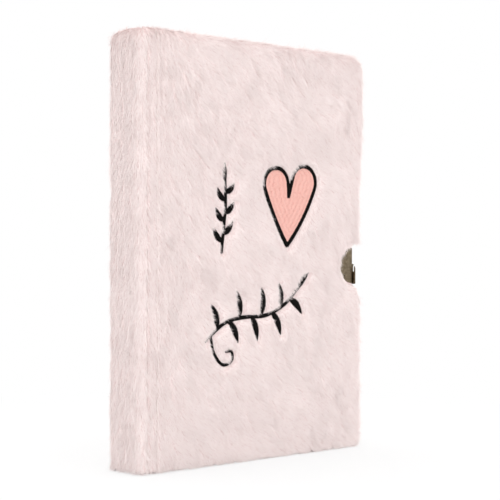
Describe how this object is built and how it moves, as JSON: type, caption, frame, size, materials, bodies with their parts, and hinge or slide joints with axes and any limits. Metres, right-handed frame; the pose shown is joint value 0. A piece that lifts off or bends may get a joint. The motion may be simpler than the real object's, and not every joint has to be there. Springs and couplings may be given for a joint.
{
  "type": "plush diary with lock",
  "caption": "Hardback diary bound in pale plush with an embroidered heart, hinged covers, turning leaves and a keyed metal lock on its fore-edge.",
  "frame": {"origin": "under the middle of the closed diary, on the surface it stands on", "axes": "+X from the spine to the fore-edge, -Y the front cover's side, +Z from tail to head"},
  "size_m": [0.15, 0.027, 0.207],
  "materials": {
    "plush": "soft pale pink pile",
    "board": "grey-brown binder's board",
    "paper": "uncoated cream-white",
    "endpaper": "uncoated white",
    "lining": "open gauze",
    "coral_satin": "satin stitch",
    "black_thread": "embroidery thread",
    "antique_brass": "dull antique plating",
    "plug_brass": "dull antique plating",
    "lock_steel": "bare stamped steel"
  },
  "bodies": {
    "book_block": {"spine_board": "board", "spine_plush": "plush", "spine_lining": "lining", "section_1": "paper", "section_2": "paper", "section_3": "paper", "section_4": "paper", "section_5": "paper", "section_6": "paper"},
    "front_cover": {"front_board": "board", "front_plush": "plush", "front_joint_plush": "plush", "front_pastedown": "endpaper", "heart_fill": "coral_satin", "heart_outline": "black_thread", "lock_plate": "antique_brass", "lock_rivets": "antique_brass", "lock_case": "antique_brass", "lock_inner_plate": "antique_brass", "bolt_spring": "lock_steel"},
    "back_cover": {"back_board": "board", "back_plush": "plush", "back_joint_plush": "plush", "back_pastedown": "endpaper", "hasp_plate": "antique_brass", "hasp_rivets": "antique_brass", "hasp_tongue": "antique_brass"},
    "front_flyleaf": {"front_flyleaf": "endpaper"},
    "first_leaf": {"first_leaf": "paper"},
    "second_leaf": {"second_leaf": "paper"},
    "back_flyleaf": {"back_flyleaf": "endpaper"},
    "key_plug": {"key_plug": "plug_brass"},
    "lock_bolt": {"lock_bolt": "lock_steel"}
  },
  "joints": [
    {"name": "front_cover_hinge", "type": "hinge", "parent": "book_block", "child": "front_cover", "pos_m": [-0.07, -0.0085, 0.1035], "axis": [0, 0, -1], "range_deg": [0, 180], "deforming": ["front_joint_plush"]},
    {"name": "back_cover_hinge", "type": "hinge", "parent": "book_block", "child": "back_cover", "pos_m": [-0.07, 0.0085, 0.1035], "axis": [0, 0, 1], "range_deg": [0, 180], "deforming": ["back_joint_plush"]},
    {"name": "front_flyleaf_turn", "type": "hinge", "parent": "book_block", "child": "front_flyleaf", "pos_m": [-0.0669, -0.0052, 0.102], "axis": [0, 0, -1], "range_deg": [0, 105]},
    {"name": "first_leaf_turn", "type": "hinge", "parent": "book_block", "child": "first_leaf", "pos_m": [-0.0665, -0.0049, 0.102], "axis": [0, 0, -1], "range_deg": [0, 69]},
    {"name": "second_leaf_turn", "type": "hinge", "parent": "book_block", "child": "second_leaf", "pos_m": [-0.0661, -0.0046, 0.102], "axis": [0, 0, -1], "range_deg": [0, 33]},
    {"name": "back_flyleaf_turn", "type": "hinge", "parent": "book_block", "child": "back_flyleaf", "pos_m": [-0.0669, 0.0052, 0.102], "axis": [0, 0, 1], "range_deg": [0, 105]},
    {"name": "bolt_slide", "type": "slide", "parent": "front_cover", "child": "lock_bolt", "axis": [0, 0, -1], "range_m": [0, 0.00255]},
    {"name": "key_turn", "type": "hinge", "parent": "front_cover", "child": "key_plug", "pos_m": [0.0735, -0.00025, 0.10155], "axis": [-1, 0, 0], "range_deg": [0, 90]}
  ],
  "couplings": [
    {"joint": "front_flyleaf_turn", "follows": "front_cover_hinge", "ratio": 0.58333},
    {"joint": "first_leaf_turn", "follows": "front_cover_hinge", "ratio": 0.38333},
    {"joint": "second_leaf_turn", "follows": "front_cover_hinge", "ratio": 0.18333},
    {"joint": "back_flyleaf_turn", "follows": "back_cover_hinge", "ratio": 0.58333},
    {"joint": "key_turn", "follows": "bolt_slide", "rad_per_m": 617.07}
  ]
}
